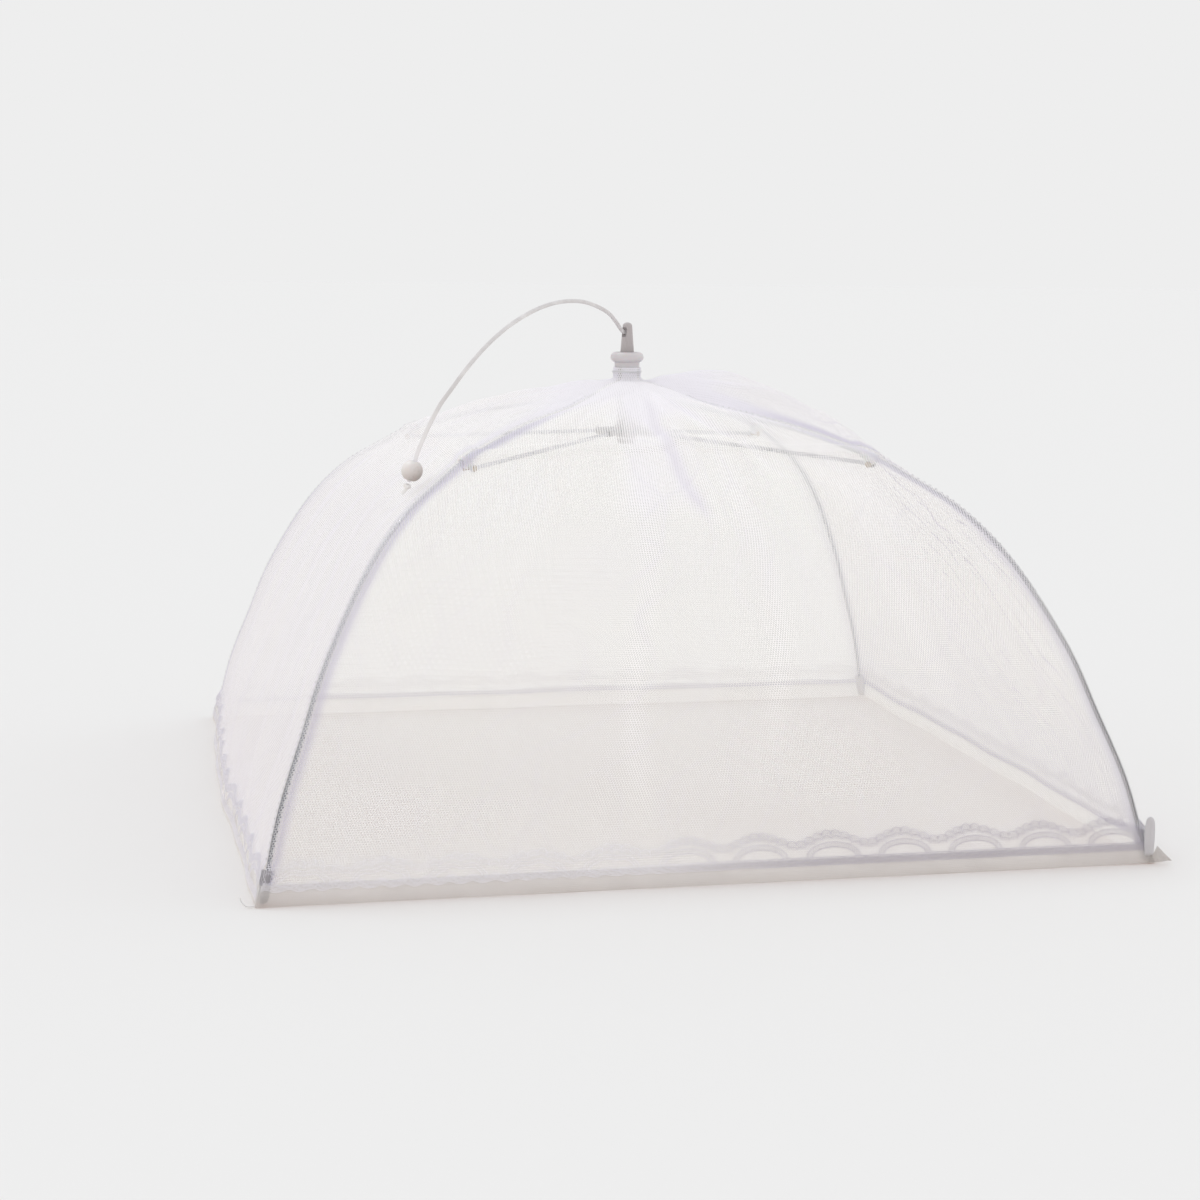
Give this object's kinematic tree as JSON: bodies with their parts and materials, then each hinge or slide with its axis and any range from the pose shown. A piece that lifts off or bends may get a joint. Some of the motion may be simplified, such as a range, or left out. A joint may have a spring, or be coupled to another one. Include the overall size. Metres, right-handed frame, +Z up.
{
  "type": "mesh food cover umbrella",
  "caption": "Square pop-up mesh food cover that folds like an umbrella, with curved ribs, a sliding runner, a lace-edged net canopy and a beaded pull cord.",
  "frame": {"origin": "on the table, in the middle of the open cover's square hem", "axes": "+Z up along the pull pin, +X to the right and -Y towards the viewer, each square to a side of the hem"},
  "size_m": [0.41, 0.41, 0.2529],
  "materials": {
    "ferrule": "satin",
    "runner": "satin",
    "pull_pin": "satin",
    "stretcher_sleeve": "matt",
    "rib_clip": "satin",
    "steel_wire": "drawn wire",
    "rivet": "dull",
    "net": "fine open mesh",
    "hem": "doubled woven band",
    "lace": "open lace",
    "thread": "sewing thread",
    "cord": "flat woven strip",
    "bead": "smooth"
  },
  "bodies": {
    "ferrule": {"ferrule": "ferrule", "rib_tie_wire": "steel_wire", "neck_thread": "thread"},
    "runner": {"runner": "runner", "pull_pin": "pull_pin", "stretcher_tie_wire": "steel_wire", "pull_cord": "cord"},
    "bead": {"pull_bead": "bead", "cord_knot": "cord"},
    "rib_front_right": {"rib_front_right": "steel_wire", "rib_clip_front_right": "rib_clip", "clip_rivet_front_right": "rivet", "corner_pocket_front_right": "hem", "net_front_right": "net", "hem_front_right": "hem", "lace_front_right": "lace"},
    "rib_back_right": {"rib_back_right": "steel_wire", "rib_clip_back_right": "rib_clip", "clip_rivet_back_right": "rivet", "corner_pocket_back_right": "hem", "net_back_right": "net", "hem_back_right": "hem", "lace_back_right": "lace"},
    "rib_back_left": {"rib_back_left": "steel_wire", "rib_clip_back_left": "rib_clip", "clip_rivet_back_left": "rivet", "corner_pocket_back_left": "hem", "net_back_left": "net", "hem_back_left": "hem", "lace_back_left": "lace"},
    "rib_front_left": {"rib_front_left": "steel_wire", "rib_clip_front_left": "rib_clip", "clip_rivet_front_left": "rivet", "corner_pocket_front_left": "hem", "net_front_left": "net", "hem_front_left": "hem", "lace_front_left": "lace"},
    "stretcher_front_right": {"stretcher_front_right": "steel_wire", "stretcher_sleeve_front_right": "stretcher_sleeve", "rivet_tail_front_right": "rivet"},
    "stretcher_back_right": {"stretcher_back_right": "steel_wire", "stretcher_sleeve_back_right": "stretcher_sleeve", "rivet_tail_back_right": "rivet"},
    "stretcher_back_left": {"stretcher_back_left": "steel_wire", "stretcher_sleeve_back_left": "stretcher_sleeve", "rivet_tail_back_left": "rivet"},
    "stretcher_front_left": {"stretcher_front_left": "steel_wire", "stretcher_sleeve_front_left": "stretcher_sleeve", "rivet_tail_front_left": "rivet"}
  },
  "joints": [
    {"name": "runner_slide", "type": "slide", "parent": "ferrule", "child": "runner", "axis": [0, 0, -1], "range_m": [0, 0.22353], "deforming": ["pull_cord", "net_front_right", "hem_front_right", "lace_front_right", "net_back_right", "hem_back_right", "lace_back_right", "net_back_left", "hem_back_left", "lace_back_left", "net_front_left", "hem_front_left", "lace_front_left"]},
    {"name": "rib_hinge_front_right", "type": "hinge", "parent": "ferrule", "child": "rib_front_right", "pos_m": [0.00467, -0.00467, 0.205], "axis": [0.7071, 0.7071, 0], "range_deg": [0, 52.12]},
    {"name": "rib_hinge_back_right", "type": "hinge", "parent": "ferrule", "child": "rib_back_right", "pos_m": [0.00467, 0.00467, 0.205], "axis": [-0.7071, 0.7071, 0], "range_deg": [0, 52.12]},
    {"name": "rib_hinge_back_left", "type": "hinge", "parent": "ferrule", "child": "rib_back_left", "pos_m": [-0.00467, 0.00467, 0.205], "axis": [-0.7071, -0.7071, 0], "range_deg": [0, 52.12]},
    {"name": "rib_hinge_front_left", "type": "hinge", "parent": "ferrule", "child": "rib_front_left", "pos_m": [-0.00467, -0.00467, 0.205], "axis": [0.7071, -0.7071, 0], "range_deg": [0, 52.12]},
    {"name": "stretcher_hinge_front_right", "type": "hinge", "parent": "runner", "child": "stretcher_front_right", "pos_m": [0.00375, -0.00375, 0.1853], "axis": [-0.7071, -0.7071, 0], "range_deg": [0, 67.96]},
    {"name": "stretcher_hinge_back_right", "type": "hinge", "parent": "runner", "child": "stretcher_back_right", "pos_m": [0.00375, 0.00375, 0.1853], "axis": [0.7071, -0.7071, 0], "range_deg": [0, 67.96]},
    {"name": "stretcher_hinge_back_left", "type": "hinge", "parent": "runner", "child": "stretcher_back_left", "pos_m": [-0.00375, 0.00375, 0.1853], "axis": [0.7071, 0.7071, 0], "range_deg": [0, 67.96]},
    {"name": "stretcher_hinge_front_left", "type": "hinge", "parent": "runner", "child": "stretcher_front_left", "pos_m": [-0.00375, -0.00375, 0.1853], "axis": [-0.7071, 0.7071, 0], "range_deg": [0, 67.96]},
    {"name": "bead_swing", "type": "hinge", "parent": "ferrule", "child": "bead", "pos_m": [-0.06008, -0.05047, 0.19243], "axis": [-0.6432, 0.7657, 0], "range_deg": [0, 166.63]}
  ],
  "couplings": [
    {"joint": "rib_hinge_front_right", "follows": "runner_slide", "rad_per_m": 4.0694},
    {"joint": "rib_hinge_back_right", "follows": "runner_slide", "rad_per_m": 4.0694},
    {"joint": "rib_hinge_back_left", "follows": "runner_slide", "rad_per_m": 4.0694},
    {"joint": "rib_hinge_front_left", "follows": "runner_slide", "rad_per_m": 4.0694},
    {"joint": "stretcher_hinge_front_right", "follows": "runner_slide", "rad_per_m": 5.3066},
    {"joint": "stretcher_hinge_back_right", "follows": "runner_slide", "rad_per_m": 5.3066},
    {"joint": "stretcher_hinge_back_left", "follows": "runner_slide", "rad_per_m": 5.3066},
    {"joint": "stretcher_hinge_front_left", "follows": "runner_slide", "rad_per_m": 5.3066},
    {"joint": "bead_swing", "follows": "runner_slide", "rad_per_m": 13.011}
  ]
}
